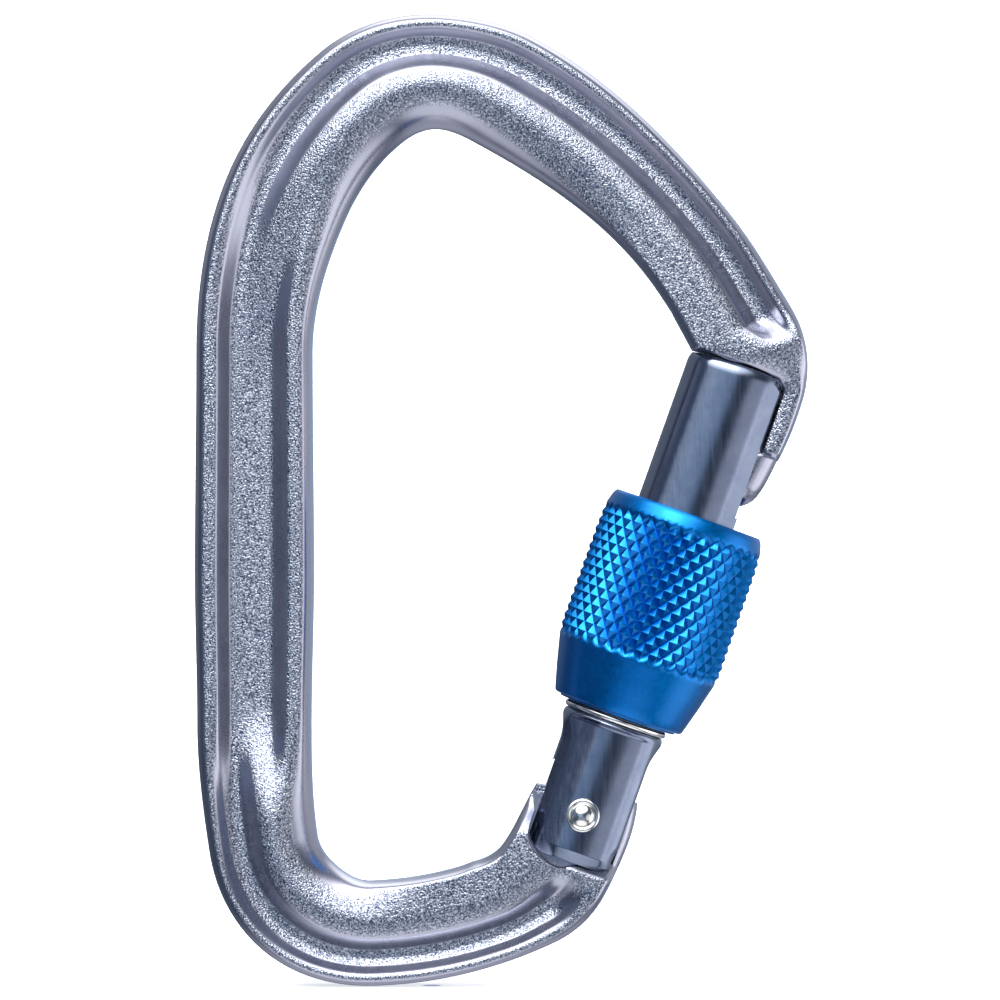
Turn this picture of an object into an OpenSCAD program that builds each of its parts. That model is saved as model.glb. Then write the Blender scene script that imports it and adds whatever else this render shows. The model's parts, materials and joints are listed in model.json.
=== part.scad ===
// Screw-gate locking carabiner, in millimetres.
// The bow lies in the XZ plane with +Z along its length and +Y through its thickness.
// The origin is the centre of the round seat in the top basket, where the load sits.

/* [Frame] */
// Half thickness of the forging at the rope-bearing inner ridge
ridge_half = 4.95; // [4.8:0.05:5.1]
// Half thickness of the forging along the spine
spine_half = 4.2; // [4.0:0.05:4.5]
// Half thickness of the web left between the two grooves
web_half = 2.2; // [2.0:0.05:2.5]
// Share of its thickness that the head keeps beside the closed gate
head_share = 0.65; // [0.62:0.01:0.8]
// Half thickness of the hinge tang
tang_half = 2.0; // [1.9:0.05:2.05]

/* [Gate] */
// Lean of the closed gate away from the vertical, in degrees
gate_tilt = 19.6; // [19.4:0.1:19.8]
// Half width of the gate across its flats
gate_half = 4.75; // [4.7:0.05:4.8]
// Height of the gate's top end above the hinge pivot
gate_reach = 49.3; // [49.2:0.05:49.35]
// Swing of the gate from closed to fully open, in degrees
gate_swing = 27; // [24:1:28]
// Running clearance on each side of the tang
slot_play = 0.12; // [0.08:0.01:0.15]

/* [Keylock nose] */
// Half thickness of the nose bulb that locks into the gate
bulb_half = 2.8; // [2.7:0.05:2.85]
// Half thickness of the neck above the bulb
neck_half = 2.15; // [2.0:0.05:2.2]
// Clearance between the nose and its pocket
nose_play = 0.15; // [0.1:0.01:0.2]

/* [Hinge] */
// Radius of the rivet that the gate swings on
rivet_r = 1.4; // [1.3:0.05:1.45]
// Running clearance of the rivet in the tang
rivet_play = 0.05; // [0.03:0.01:0.08]
// Lift of the plunger for each radian of swing
cam_rise = 1.9; // [1.7:0.1:1.9]

/* [Locking sleeve] */
// Pitch of the locking thread
thread_pitch = 2; // [2]
// Crest radius of the gate's thread
thread_r = 5.43; // [5.4:0.01:5.46]
// Height of the thread ridges
thread_h = 0.48; // [0.44:0.01:0.5]
// Radial clearance between mating threads
thread_play = 0.12; // [0.1:0.01:0.14]
// Radius of the sleeve's knurled grip
grip_r = 8.65; // [8.5:0.05:8.8]

/* [Hidden] */

pivot = [15.6, 0, -65];

// Bow: centreline as arcs [radius, turn in degrees, steps], a radius of 0 being a straight of that length.
spine_start = [-18.45, -40];
upper_run = [[0, 22.8, 3], [41, 23.3, 5], [27.8, 26.5, 5], [11.9, 46.4, 7], [17.1, 22.4, 4],
             [61.4, 21.8, 5], [48.9, 7.5, 2]];
upper_width = [12.4, 12.1, 13.1, 12.7, 11.9, 12.5, 10.8, 10.9];
lower_run = [[0, 15.7, 2], [83, 8.6, 3], [10.9, 38.6, 5], [11.3, 44.6, 6]];
lower_width = [12.4, 11.9, 11.4, 11.7, 10.9];
// Ends of the bow: separate arcs for the outer and the inner edge, paired step by step.
head_outer_run = [[250, 1.4, 3], [12.2, 47, 9], [34.7, 17.3, 5]];
head_inner_run = [[0, 4.3, 3], [2, 47, 9], [24, 17.3, 5]];
hinge_outer_run = [[47.4, 23.5, 6], [11.2, 35.8, 5], [43.5, 7.6, 2], [17.7, 12.3, 2]];
hinge_inner_run = [[37.3, 13.8, 3], [10.3, 39.4, 4], [10.3, 24.5, 8]];

// Section of the bow, outer edge to inner edge: [share of the width, half thickness].
spine_section = [[0, 1.4], [0.03, 2.9], [0.085, 3.9], [0.135, spine_half], [0.19, 3.9],
    [0.29, web_half + 0.1], [0.48, web_half], [0.67, web_half + 0.1], [0.8, 3.9], [0.86, spine_half],
    [0.91, 3.9], [0.97, 2.8], [1, 1.3]];
basket_section = [[0, 1.4], [0.025, 2.8], [0.06, 3.6], [0.095, 3.8], [0.13, 3.6], [0.24, web_half + 0.2],
    [0.31, web_half + 0.1], [0.38, web_half + 0.3], [0.48, ridge_half - 0.4], [0.58, ridge_half],
    [0.69, ridge_half - 0.3], [0.88, 3.3], [1, 1]];
solid_section = [[0, 1.4], [0.03, 2.9], [0.09, 4], [0.16, 4.5], [0.24, 4.7], [0.34, 4.85], [0.45, 4.9],
    [0.56, 4.9], [0.67, 4.85], [0.76, 4.7], [0.85, 4.3], [0.95, 3], [1, 1.6]];

// Closed positions of the gate's features, as heights above the pivot along the gate.
gate_foot = -5;
thread_low = 8.8;
thread_high = 32.8;
ridge_low = 12.4;
ridge_high = 31.2;
pocket_low = 34.2;
pocket_high = 41.5;
nose_step = 41.3;
ring_height = 10.3;
ring_wire = 0.35;
ring_seat_r = 5.16;
ring_gap = 14;
gate_gap = 0.3;
collar_h = 2.8;
shoulder = 0.4;
fine = 96;
// Cutters run this far past the metal they cut.
past = 12;
// Lowest height of the room kept clear of the bow for the gate's upper end, and the wall beside it.
head_room_low = 28;
head_wall = 5.15;
nose_limit_r = 6.95;

// Plunger and spring inside the gate.
plunger_r = 1.95;
bore_r = 2.05;
nose_r = 1.2;
nose_lift = 4.2;
nose_h = 1.6;
shoulder_h = 0.8;
plunger_top = 9.4;
stem_r = 1.1;
stem_h = 2.4;
slot_r = 6.4;
bore_low = 3;
bore_top = 24.2;
spring_wire = 0.22;
spring_coil_r = 1.6;
spring_turns = 9;

// Helpers
function smooth(t) = t * t * (3 - 2 * t);
function last(v) = v[len(v) - 1];
function flip(v) = [for (i = [len(v) - 1:-1:0]) v[i]];
function blend(a, b, t) = [for (i = [0:len(a) - 1]) a[i] + (b[i] - a[i]) * t];

// One step of a run: [x, z, heading] after a share of a straight or an arc. Side is 1 to turn left.
function step_on(p, piece, side) = let (
        turn = piece[0] == 0 ? 0 : side * piece[1] / piece[2],
        length = piece[0] == 0 ? piece[1] / piece[2] : 2 * piece[0] * sin(abs(turn) / 2))
    [p[0] + length * cos(p[2] + turn / 2), p[1] + length * sin(p[2] + turn / 2), p[2] + turn];
function walk_piece(p, piece, side, k = 0) =
    k == piece[2] ? [] : let (q = step_on(p, piece, side))
        concat([q], walk_piece(q, piece, side, k + 1));
function walk(p, run, side, i = 0) =
    i == len(run) ? [] : let (part = walk_piece(p, run[i], side))
        concat(part, walk(last(part), run, side, i + 1));

// Width of the bow at every step, eased from one joint of the run to the next.
function widths(run, w) = [for (i = [0:len(run) - 1]) for (k = [1:run[i][2]])
    w[i] + (w[i + 1] - w[i]) * smooth(k / run[i][2])];
function beside(p, d) = [p[0] - d * sin(p[2]), p[1] + d * cos(p[2])];

upper_start = [spine_start[0], spine_start[1], 90];
upper_path = concat([upper_start], walk(upper_start, upper_run, -1));
upper_w = concat([upper_width[0]], widths(upper_run, upper_width));
lower_path = walk([spine_start[0], spine_start[1], -90], lower_run, 1);
lower_w = widths(lower_run, lower_width);

function outer_of(path, w, side) = [for (i = [0:len(path) - 1]) beside(path[i], side * w[i] / 2)];
upper_outer = outer_of(upper_path, upper_w, 1);
upper_inner = outer_of(upper_path, upper_w, -1);
lower_outer = outer_of(lower_path, lower_w, -1);
lower_inner = outer_of(lower_path, lower_w, 1);

// The run past each end of the bow starts at that end's own edge point and heading.
function onward(p, path, run, side) =
    [for (q = walk([p[0], p[1], last(path)[2]], run, side)) [q[0], q[1]]];
head_outer = onward(last(upper_outer), upper_path, head_outer_run, -1);
head_inner = onward(last(upper_inner), upper_path, head_inner_run, -1);
hinge_outer = onward(last(lower_outer), lower_path, hinge_outer_run, 1);
hinge_inner = onward(last(lower_inner), lower_path, hinge_inner_run, 1);

outer_edge = concat(flip(hinge_outer), flip(lower_outer), upper_outer, head_outer);
inner_edge = concat(flip(hinge_inner), flip(lower_inner), upper_inner, head_inner);
hinge_steps = len(hinge_outer);
spine_from = hinge_steps + len(lower_path) - 5;
spine_to = hinge_steps + len(lower_path) + 4;
head_from = hinge_steps + len(lower_path) + len(upper_path);

// Share of the spine's section, of the grooves and so the whole section at station i.
spine_ease = [6, 7];
groove_from = [hinge_steps - 9, hinge_steps - 3];
groove_to = [head_from - 2, head_from + 5];
function ramp(i, from, to) = smooth(min(1, max(0, (i - from) / (to - from))));
function spine_share(i) =
    ramp(i, spine_from - spine_ease[0], spine_from) * (1 - ramp(i, spine_to, spine_to + spine_ease[1]));
function groove_share(i) =
    ramp(i, groove_from[0], groove_from[1]) * (1 - ramp(i, groove_to[0], groove_to[1]));
function section_at(i) = [for (k = [0:len(spine_section) - 1])
    blend(solid_section[k], blend(basket_section[k], spine_section[k], spine_share(i)), groove_share(i))];

// The head thins round its corner to the strip beside the gate.
thin_from = head_from + 6;
thin_to = head_from + 12;
function thickness(i) = 1 - (1 - head_share) * ramp(i, thin_from, thin_to);

function ring_at(i) = let (
        o = outer_edge[i],
        d = inner_edge[i] - outer_edge[i],
        s = section_at(i),
        h = thickness(i))
    concat([for (p = s) [o[0] + d[0] * p[0], p[1] * h, o[1] + d[1] * p[0]]],
           [for (p = flip(s)) [o[0] + d[0] * p[0], -p[1] * h, o[1] + d[1] * p[0]]]);

// A closed skin over a row of rings that all have m points.
module skin(rings) {
    m = len(rings[0]);
    n = len(rings);
    sides = [for (i = [0:n - 2]) for (k = [0:m - 1]) let (a = i * m + k, b = i * m + (k + 1) % m)
        each [[a, b, a + m], [b, b + m, a + m]]];
    caps = [[for (k = [m - 1:-1:0]) k], [for (k = [0:m - 1]) (n - 1) * m + k]];
    polyhedron([for (r = rings) each r], concat(sides, caps), convexity = 10);
}

// The gate's own frame: X outward across the gate, Z up along it from the hinge pivot.
module on_gate() translate(pivot) rotate([0, gate_tilt, 0]) children();
// A plate in the gate's XZ plane, from y = a to y = b.
module plate(a, b) translate([0, b, 0]) rotate([90, 0, 0]) linear_extrude(b - a) children();
module across(r, half) rotate([90, 0, 0]) cylinder(r = r, h = 2 * half, center = true, $fn = fine);

// Cam face of the tang: the path of the plunger's round nose, moved in by the nose's radius.
nose_gap = 0.03;
function cam_point(a) = let (r = nose_lift + cam_rise * a * PI / 180, n = norm([r, cam_rise]),
        out = [-sin(a), cos(a)], along = [-cos(a), -sin(a)])
    r * out - (nose_r + nose_gap) * (r * out - cam_rise * along) / n;
tang_outline = concat([for (a = [42:-6:-6]) cam_point(a)],
    [[0.95, 2.85], [1.7, 2.62], [4.4, 2.95], [5.05, 2.6], [5.45, 1.6], [5.62, 0.2], [5.6, -1.6], [5, -6],
     [-5.5, -6], [-6.12, -1.2], [-6, 0.7], [-5, 0.8], [-4.5, 1.9]]);

// Foot of the gate as [facing angle, distance from the pivot] of its sides and of tangents to its corners.
foot_left = [-2.35, -2.6];
foot_left_r = 2.4;
foot_right = [3.25, -3.5];
foot_right_r = 1.5;
function tangent(c, r, a) = [a, c * [cos(a), sin(a)] + r];
foot_sides = concat([[180, gate_half], [270, -gate_foot], [360, gate_half]],
    [for (a = [202.5:22.5:247.5]) tangent(foot_left, foot_left_r, a)],
    [for (a = [292.5:22.5:337.5]) tangent(foot_right, foot_right_r, a)]);

// Reach of the foot in direction a, and the furthest reach there over the whole swing.
least_facing = 0.3;
function reach(a) = min([for (s = foot_sides) let (c = cos(a - s[0])) c > least_facing ? s[1] / c : past]);
function swept_reach(a) = max([for (t = [0:3:gate_swing]) reach(a - t)]) + gate_gap;
// Where the gate swings, one cheek of it: the swept foot, and all beyond the back edge of the open gate.
module swing_space() {
    plate(-past, past) polygon([for (a = [152:4:392]) swept_reach(a) * [cos(a), sin(a)]]);
    rotate([0, -gate_swing, 0]) translate([-gate_half - gate_gap, -past, 0]) cube(2 * past);
}

// The nose seen along the gate's width: the bulb, and the neck above it that joins the head.
module nose_profile(play) {
    bulb = bulb_half + play;
    neck = neck_half + play;
    bulb_high = pocket_high - 0.3 + play;
    neck_low = pocket_high + 0.6 + play;
    polygon([[-bulb, 30], [bulb, 30], [bulb, bulb_high], [neck, neck_low], [neck, 60], [-neck, 60],
        [-neck, neck_low], [-bulb, bulb_high]]);
}
module along_gate_x(from, to)
    translate([from, 0, 0]) rotate([90, 0, 90]) linear_extrude(to - from) children();

nose_in = 0.6;
nose_outline = [[nose_in, 50.6], [nose_in, 37.3], [1, 36.4], [1.9, 35.8], [4.3, 35.4], [5, 35.7],
    [5.6, 36.3], [6.1, 37.2], [6.45, 38.4], [6.8, 40.4], [7, nose_step + 1], [6.4, 50.6]];

module nose() intersection() {
    plate(-past, past) polygon(nose_outline);
    along_gate_x(0, past) nose_profile(0);
    union() {
        translate([0, 0, head_room_low])
            cylinder(r = nose_limit_r, h = nose_step - head_room_low + 0.2, $fn = fine);
        translate([-past, -past, nose_step]) cube(2 * past);
    }
}

module frame() color([0.42, 0.45, 0.56]) difference() {
    union() {
        difference() {
            skin([for (i = [0:len(outer_edge) - 1]) ring_at(i)]);
            on_gate() {
                for (side = [-1, 1]) translate([0, side * (past + tang_half), 0]) swing_space();
                intersection() {
                    across(gate_reach + gate_gap, past);
                    translate([head_wall - 2 * past, -past, head_room_low]) cube(2 * past);
                }
                translate([-2 * past, -past, head_room_low])
                    cube([4 * past, 2 * past, nose_step - head_room_low]);
            }
        }
        on_gate() {
            nose();
            plate(-tang_half, tang_half) polygon(tang_outline);
        }
    }
    on_gate() across(rivet_r + rivet_play, past);
}

// Gate sections, looking down the gate.
lower_facets = [[-1.6, -4.65], [0, -4.75], [2.1, -4.6], [3.5, -4], [4.75, -3.1], [4.75, 3.1], [3.5, 4],
    [2.1, 4.6], [0, 4.75], [-1.6, 4.65], [-3.44, 3.67], [-4.75, 1.8], [-4.75, -1.8], [-3.44, -3.67]];
upper_facets = [[-2.45, -4.5], [0, -4.75], [1.6, -4.65], [3.07, -4.07], [4.85, -2.8], [4.85, 2.8],
    [3.07, 4.07], [1.6, 4.65], [0, 4.75], [-2.45, 4.5], [-3.52, 4.13], [-4.6, 3.05], [-5.5, 1.1],
    [-5.5, -1.1], [-4.6, -3.05], [-3.52, -4.13]];
// Outline of the gate from the front: an arc at each foot corner and at the outer top corner.
function arc_points(c, r, from, to, n = 5) =
    [for (k = [0:n]) let (a = from + (to - from) * k / n) c + r * [cos(a), sin(a)]];
gate_outline = concat(arc_points(foot_left, foot_left_r, 180, 270),
    arc_points(foot_right, foot_right_r, 270, 360), [[4.75, 8], [6, 8.8], [6, 34], [4.85, 35]],
    arc_points([3.35, 47], 1.5, 0, 80), [[3, 52], [-6, 52], [-6, 8.8]]);

// A helical ridge about the gate's axis. Each ring is the ridge's section, as [radius, height] pairs.
module ridge(section, low, high) {
    per_turn = 24;
    steps = round((high - low) / thread_pitch * per_turn);
    skin([for (i = [0:steps]) let (a = i * 360 / per_turn, z = low + i * thread_pitch / per_turn)
        [for (p = section) [p[0] * cos(a), p[0] * sin(a), z + p[1]]]]);
}
core_r = thread_r - thread_h;
base_half = 0.62;
crest_half = 0.28;
root = 0.12;
module gate_ridge() ridge([[core_r - root, -base_half], [thread_r, -crest_half], [thread_r, crest_half],
    [core_r - root, base_half]], ridge_low, ridge_high);

run_out_h = 0.6;
module gate_body() intersection() {
    union() {
        translate([0, 0, gate_foot]) linear_extrude(thread_low - gate_foot + shoulder) polygon(lower_facets);
        translate([0, 0, thread_low]) cylinder(r = thread_r, h = collar_h, $fn = fine);
        translate([0, 0, thread_low]) cylinder(r = core_r, h = thread_high - thread_low, $fn = fine);
        translate([0, 0, thread_high - run_out_h])
            cylinder(r1 = thread_r, r2 = core_r, h = run_out_h + shoulder, $fn = fine);
        translate([0, 0, thread_high - shoulder]) linear_extrude(2 * past) polygon(upper_facets);
    }
    plate(-past, past) polygon(gate_outline);
    across(gate_reach, past);
}

slot_half = tang_half + slot_play;
rivet_fit = 0.01;
ring_fit = 0.06;
module gate() color([0.29, 0.36, 0.47]) on_gate() difference() {
    union() {
        gate_body();
        gate_ridge();
    }
    intersection() {
        across(slot_r, slot_half);
        translate([-past, -past, -past]) cube(2 * past);
    }
    translate([-past, -slot_half, -past]) cube([2 * past, 2 * slot_half, past]);
    translate([0, 0, bore_low]) cylinder(r = bore_r, h = bore_top - bore_low, $fn = fine);
    across(rivet_r + rivet_fit, past);
    difference() {
        along_gate_x(nose_in - nose_play, past) nose_profile(nose_play);
        translate([-past, -past, pocket_low - 2 * past]) cube(2 * past);
    }
    translate([0, 0, ring_height]) rotate_extrude($fn = fine) translate([ring_seat_r + 0.04, 0])
        circle(r = ring_wire + ring_fit, $fn = 32);
}

rivet_face = gate_half + rivet_fit;
rivet_head_profile = [[0, -0.3], [rivet_r, -0.3], [rivet_r, 0], [1.74, 0], [1.74, 0.16], [1.56, 0.3],
    [1.3, 0.26], [1.2, 0.34], [0.95, 0.52], [0.5, 0.68], [0, 0.74]];
module rivet_head() rotate_extrude($fn = fine) polygon(rivet_head_profile);
module gate_rivet() color([0.86, 0.82, 0.74]) on_gate() {
    across(rivet_r, rivet_face);
    for (side = [-1, 1]) translate([0, side * rivet_face, 0]) rotate([-90 * side, 0, 0]) rivet_head();
}

body_low = 6;
module plunger() color([0.7, 0.7, 0.72]) on_gate() {
    translate([0, 0, nose_lift]) sphere(r = nose_r, $fn = fine);
    translate([0, 0, nose_lift]) cylinder(r = nose_r, h = nose_h, $fn = fine);
    translate([0, 0, body_low - shoulder_h])
        cylinder(r1 = nose_r, r2 = plunger_r, h = shoulder_h, $fn = fine);
    translate([0, 0, body_low]) cylinder(r = plunger_r, h = plunger_top - body_low, $fn = fine);
    translate([0, 0, plunger_top]) cylinder(r = stem_r, h = stem_h, $fn = fine);
}

// Spring: closed end coils with an even rise between them.
module gate_spring() color([0.75, 0.75, 0.76]) on_gate() {
    per_turn = 12;
    end_gap = spring_wire + 0.02;
    low = plunger_top + end_gap;
    high = bore_top - end_gap;
    skin([for (i = [0:spring_turns * per_turn])
        let (a = i * 360 / per_turn, t = i / (spring_turns * per_turn), z = low + (high - low) * t)
        [for (k = [0:5]) let (b = k * 60, r = spring_coil_r + spring_wire * cos(b))
            [r * cos(a), r * sin(a), z + spring_wire * sin(b)]]]);
}

sleeve_low = 11.1;
sleeve_high = 33;
sleeve_bore = thread_r + thread_play;
hood_r = 7.2;
hood_low = 25.6;
sleeve_profile = [[6.1, sleeve_low], [6.75, sleeve_low], [7, sleeve_low + 0.25], [7.75, 14],
    [grip_r + 0.15, 18.2], [grip_r, 18.8], [grip_r, 30.6], [grip_r - 0.35, 32.3], [7.9, sleeve_high],
    [hood_r, sleeve_high], [hood_r, hood_low], [sleeve_bore, hood_low - 1], [sleeve_bore, 12.2],
    [6.1, 11.9]];
sleeve_ridge_low = 13.4;
sleeve_ridge_high = 23.4;
sleeve_crest_r = sleeve_bore - thread_h;
module sleeve_ridge() ridge([[sleeve_bore + root, -base_half], [sleeve_bore + root, base_half],
    [sleeve_crest_r, crest_half], [sleeve_crest_r, -crest_half]], sleeve_ridge_low, sleeve_ridge_high);
module locking_sleeve() color([0.03, 0.36, 0.72]) on_gate() {
    rotate_extrude($fn = fine) polygon(sleeve_profile);
    sleeve_ridge();
}

module retaining_ring() color([0.87, 0.84, 0.78]) on_gate() translate([0, 0, ring_height])
    rotate([0, 0, 90 + ring_gap / 2]) rotate_extrude(angle = 360 - ring_gap, $fn = fine)
        translate([ring_seat_r, 0]) circle(r = ring_wire, $fn = 32);

frame();
gate();
gate_rivet();
gate_spring();
plunger();
locking_sleeve();
retaining_ring();
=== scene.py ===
import json
import math
import bmesh
import bpy
import numpy as np
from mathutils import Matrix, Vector


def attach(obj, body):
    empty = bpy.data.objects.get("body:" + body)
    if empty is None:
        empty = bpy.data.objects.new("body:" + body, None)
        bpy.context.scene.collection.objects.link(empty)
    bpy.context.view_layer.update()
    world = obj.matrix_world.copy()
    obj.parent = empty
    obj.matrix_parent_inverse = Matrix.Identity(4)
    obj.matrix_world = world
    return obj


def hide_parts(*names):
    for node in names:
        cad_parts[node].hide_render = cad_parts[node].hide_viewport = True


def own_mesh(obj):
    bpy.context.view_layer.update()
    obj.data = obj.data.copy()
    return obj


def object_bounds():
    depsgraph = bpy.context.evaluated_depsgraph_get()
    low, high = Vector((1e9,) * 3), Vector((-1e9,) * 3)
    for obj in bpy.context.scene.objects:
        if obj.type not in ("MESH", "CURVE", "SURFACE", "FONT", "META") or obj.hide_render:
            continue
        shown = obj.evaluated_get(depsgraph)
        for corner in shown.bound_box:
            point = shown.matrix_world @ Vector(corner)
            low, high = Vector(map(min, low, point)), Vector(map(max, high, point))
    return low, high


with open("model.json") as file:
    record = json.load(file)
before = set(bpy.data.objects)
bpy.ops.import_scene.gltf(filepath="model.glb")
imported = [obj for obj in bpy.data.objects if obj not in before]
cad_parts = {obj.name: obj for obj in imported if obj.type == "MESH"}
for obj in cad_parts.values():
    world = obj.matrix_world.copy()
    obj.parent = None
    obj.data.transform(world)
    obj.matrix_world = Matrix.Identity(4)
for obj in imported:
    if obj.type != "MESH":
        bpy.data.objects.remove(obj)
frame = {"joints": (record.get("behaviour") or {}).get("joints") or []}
cad_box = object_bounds()

MM = 0.001
JOINTS = {j["name"]: j for j in frame["joints"]}
PIVOT = np.array(JOINTS["gate_hinge"]["pos_m"]) / MM
GATE_UP = np.array(JOINTS["sleeve_turn"]["axis"])
GATE_OUT = np.array([GATE_UP[2], 0, -GATE_UP[0]])
THROUGH = np.array([0.0, 1.0, 0.0])

# ---------------------------------------------------------------- driving sizes, in millimetres

TANG_HALF = 2.0
SLOT_HALF, SLOT_TOP = 2.12, 6.4
BORE_R, BORE_TOP = 2.05, 24.2
RIVET_R = 1.4
RIVET_PLAY = 0.05
CHEEK_FACE = 4.76
GATE_REACH = 49.3
HEAD_REACH = 49.42
HEAD_WALL = 5.0
HEAD_CORNER = 1.6
NOSE_STEP = 41.3
SWING_GAP = 0.12
OPEN_ANGLE = math.radians(JOINTS["gate_hinge"]["range_deg"][1])
THREAD_PITCH = 2.0
THREAD_R = 5.43
THREAD_H = 0.48
THREAD_PLAY = 0.12
THREAD_RIDGE = (0.62, 0.28)
GATE_THREAD = (12.4, 31.2)
SLEEVE_THREAD = (13.4, 23.4)
RING_HEIGHT = 10.42
RING_WIRE, RING_SEAT = 0.35, 5.16
RING_GROOVE_R, RING_GROOVE_SEAT = 0.41, 5.2

# ---------------------------------------------------------------- small tools


def smooth(t):
    t = np.clip(t, 0, 1)
    return t * t * (3 - 2 * t)


def on_gate(points):
    """Points in the gate's own frame (outward, through, up; mm from the pivot) in the row frame, mm."""
    p = np.asarray(points, float)
    return PIVOT + p[..., 0:1] * GATE_OUT + p[..., 1:2] * THROUGH + p[..., 2:3] * GATE_UP


def through_gate(a, depth, b):
    """Where an (outward, up) point of an outline lies at a depth through the gate."""
    return on_gate((a, depth, b))


def across_gate(a, depth, b):
    """Where a (through, up) point of an outline lies at a depth outward across the gate."""
    return on_gate((depth, a, b))


def side_view(rows):
    """Row-frame (x, z) of (outward, up) points in the gate's frame."""
    return np.array([on_gate((r, 0, u))[[0, 2]] for r, u in rows])


def to_gate(x, z):
    """Row-frame x and z in mm as (outward, up) in the closed gate's frame."""
    dx, dz = x - PIVOT[0], z - PIVOT[2]
    return dx * GATE_OUT[0] + dz * GATE_OUT[2], dx * GATE_UP[0] + dz * GATE_UP[2]


def new_object(name, points, faces, sharp=35):
    """A mesh object from points in mm, smooth shaded except over edges sharper than the given angle."""
    mesh = bpy.data.meshes.new(name)
    mesh.from_pydata((np.asarray(points) * MM).tolist(), [], faces)
    mesh.validate()
    mesh.shade_smooth()
    mesh.set_sharp_from_angle(angle=math.radians(sharp))
    obj = bpy.data.objects.new(name, mesh)
    bpy.context.collection.objects.link(obj)
    return obj


def skin_faces(rings, count, closed_path=False, caps=True):
    """Quads over rings of count points each, with a flat cap at each open end."""
    faces = []
    for i in range(rings if closed_path else rings - 1):
        a0, b0 = i * count, ((i + 1) % rings) * count
        for k in range(count):
            n = (k + 1) % count
            faces.append((a0 + k, a0 + n, b0 + n, b0 + k))
    if caps and not closed_path:
        faces.append(tuple(range(count - 1, -1, -1)))
        faces.append(tuple((rings - 1) * count + k for k in range(count)))
    return faces


def loft(name, rings, sharp=35, closed_path=False, caps=True):
    """An object skinned over rings, an array of shape (rings, points, 3)."""
    n, m = len(rings), len(rings[0])
    return new_object(name, np.asarray(rings).reshape(-1, 3), skin_faces(n, m, closed_path, caps), sharp)


def revolve(name, profile, columns=96, sharp=35, place=on_gate, closed=False, sweep=2 * math.pi):
    """A profile of (radius, height) turned about the gate's axis, or about the axis that place gives."""
    full = sweep > 2 * math.pi - 1e-6
    turns = np.linspace(0, sweep, columns, endpoint=not full)
    p = np.asarray(profile, float)
    rings = [np.c_[p[:, 0] * math.cos(a), p[:, 0] * math.sin(a), p[:, 1]] for a in turns]
    pts = place(np.array(rings).reshape(-1, 3))
    m = len(p)
    faces = []
    for i in range(columns if full else columns - 1):
        a0, b0 = i * m, ((i + 1) % columns) * m
        for k in range(m if closed else m - 1):
            n = (k + 1) % m
            faces.append((a0 + k, b0 + k, b0 + n, a0 + n))
    if closed and not full:
        faces.append(tuple(range(m)))
        faces.append(tuple((columns - 1) * m + k for k in range(m - 1, -1, -1)))
    return new_object(name, pts, faces, sharp)


def prism(name, outline, low, high, place=through_gate):
    """An outline of (a, b) points between two depths, put in place by a function of (a, depth, b)."""
    o = np.asarray(outline, float)
    pts = [place(a, d, b) for d in (low, high) for a, b in o]
    m = len(o)
    faces = [tuple(range(m)), tuple(range(2 * m - 1, m - 1, -1))]
    faces += [(k, k + m, (k + 1) % m + m, (k + 1) % m) for k in range(m)]
    return new_object(name, pts, faces)


def arc(cx, cy, r, a0, a1, n=24):
    t = np.radians(np.linspace(a0, a1, n))
    return [(cx + r * math.cos(a), cy + r * math.sin(a)) for a in t]


def recalc(obj):
    """Face normals outward."""
    bm = bmesh.new()
    bm.from_mesh(obj.data)
    bmesh.ops.recalc_face_normals(bm, faces=bm.faces)
    bm.to_mesh(obj.data)
    bm.free()


def carve(obj, tool, how="DIFFERENCE"):
    """Applies a boolean with tool to obj and removes the tool."""
    recalc(tool)
    mod = obj.modifiers.new("carve", "BOOLEAN")
    mod.operation = how
    mod.solver = "EXACT"
    mod.object = tool
    dg = bpy.context.evaluated_depsgraph_get()
    mesh = bpy.data.meshes.new_from_object(obj.evaluated_get(dg))
    obj.modifiers.clear()
    old = obj.data
    obj.data = mesh
    bpy.data.meshes.remove(old)
    bpy.data.objects.remove(tool)
    mesh.shade_smooth()
    mesh.set_sharp_from_angle(angle=math.radians(35))


def finish_piece(obj, body, node, slot, *materials):
    """Dresses a piece, puts it on its body and lets it stand for its CAD node."""
    obj.data.materials.clear()
    for material in materials:
        obj.data.materials.append(material)
    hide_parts(node)
    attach(obj, body)
    return obj


# ---------------------------------------------------------------- the bow's outline

# Each run is a list of arcs (radius, turn in degrees); a radius of 0 is a straight of that length.
SPINE_START = (-18.45, -40.0)
UPPER_RUN = [(0, 22.8), (41, 23.3), (27.8, 26.5), (11.9, 46.4), (17.1, 22.4), (61.4, 21.8), (48.9, 7.5)]
UPPER_WIDTH = [12.4, 12.1, 13.1, 12.7, 11.9, 12.5, 10.8, 10.9]
LOWER_RUN = [(0, 15.7), (83, 8.6), (10.9, 38.6), (11.3, 44.6)]
LOWER_WIDTH = [12.4, 11.9, 11.4, 11.7, 10.9]
HEAD_OUTER = [(250, 1.44), (12.2, 47), (34.7, 11.4)]
HINGE_OUTER = [(47.4, 23.5), (11.2, 35.8), (43.5, 7.6), (17.7, 15.0)]
HINGE_INNER = [(37.3, 13.8), (10.3, 9.7)]
# The ear beside the gate's foot, in the gate's frame.
EAR_EDGE = [(-8.3, -8.1), (-7.6, -7.44), (-6.98, -6.6), (-6.62, -5.7), (-6.4, -4.7), (-6.2, -3.6),
            (-6.08, -2.6), (-5.94, -1.5), (-5.8, -0.5), (-5.66, 0.5), (-5.5, 1.3)]
EAR_BEND = (-6.35, -4.4)
COARSE_STEP, FINE_STEP = 0.45, 0.2
HINGE_STATIONS = int(30 / FINE_STEP)
HEAD_STATIONS = [22, 60, 30]


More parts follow.
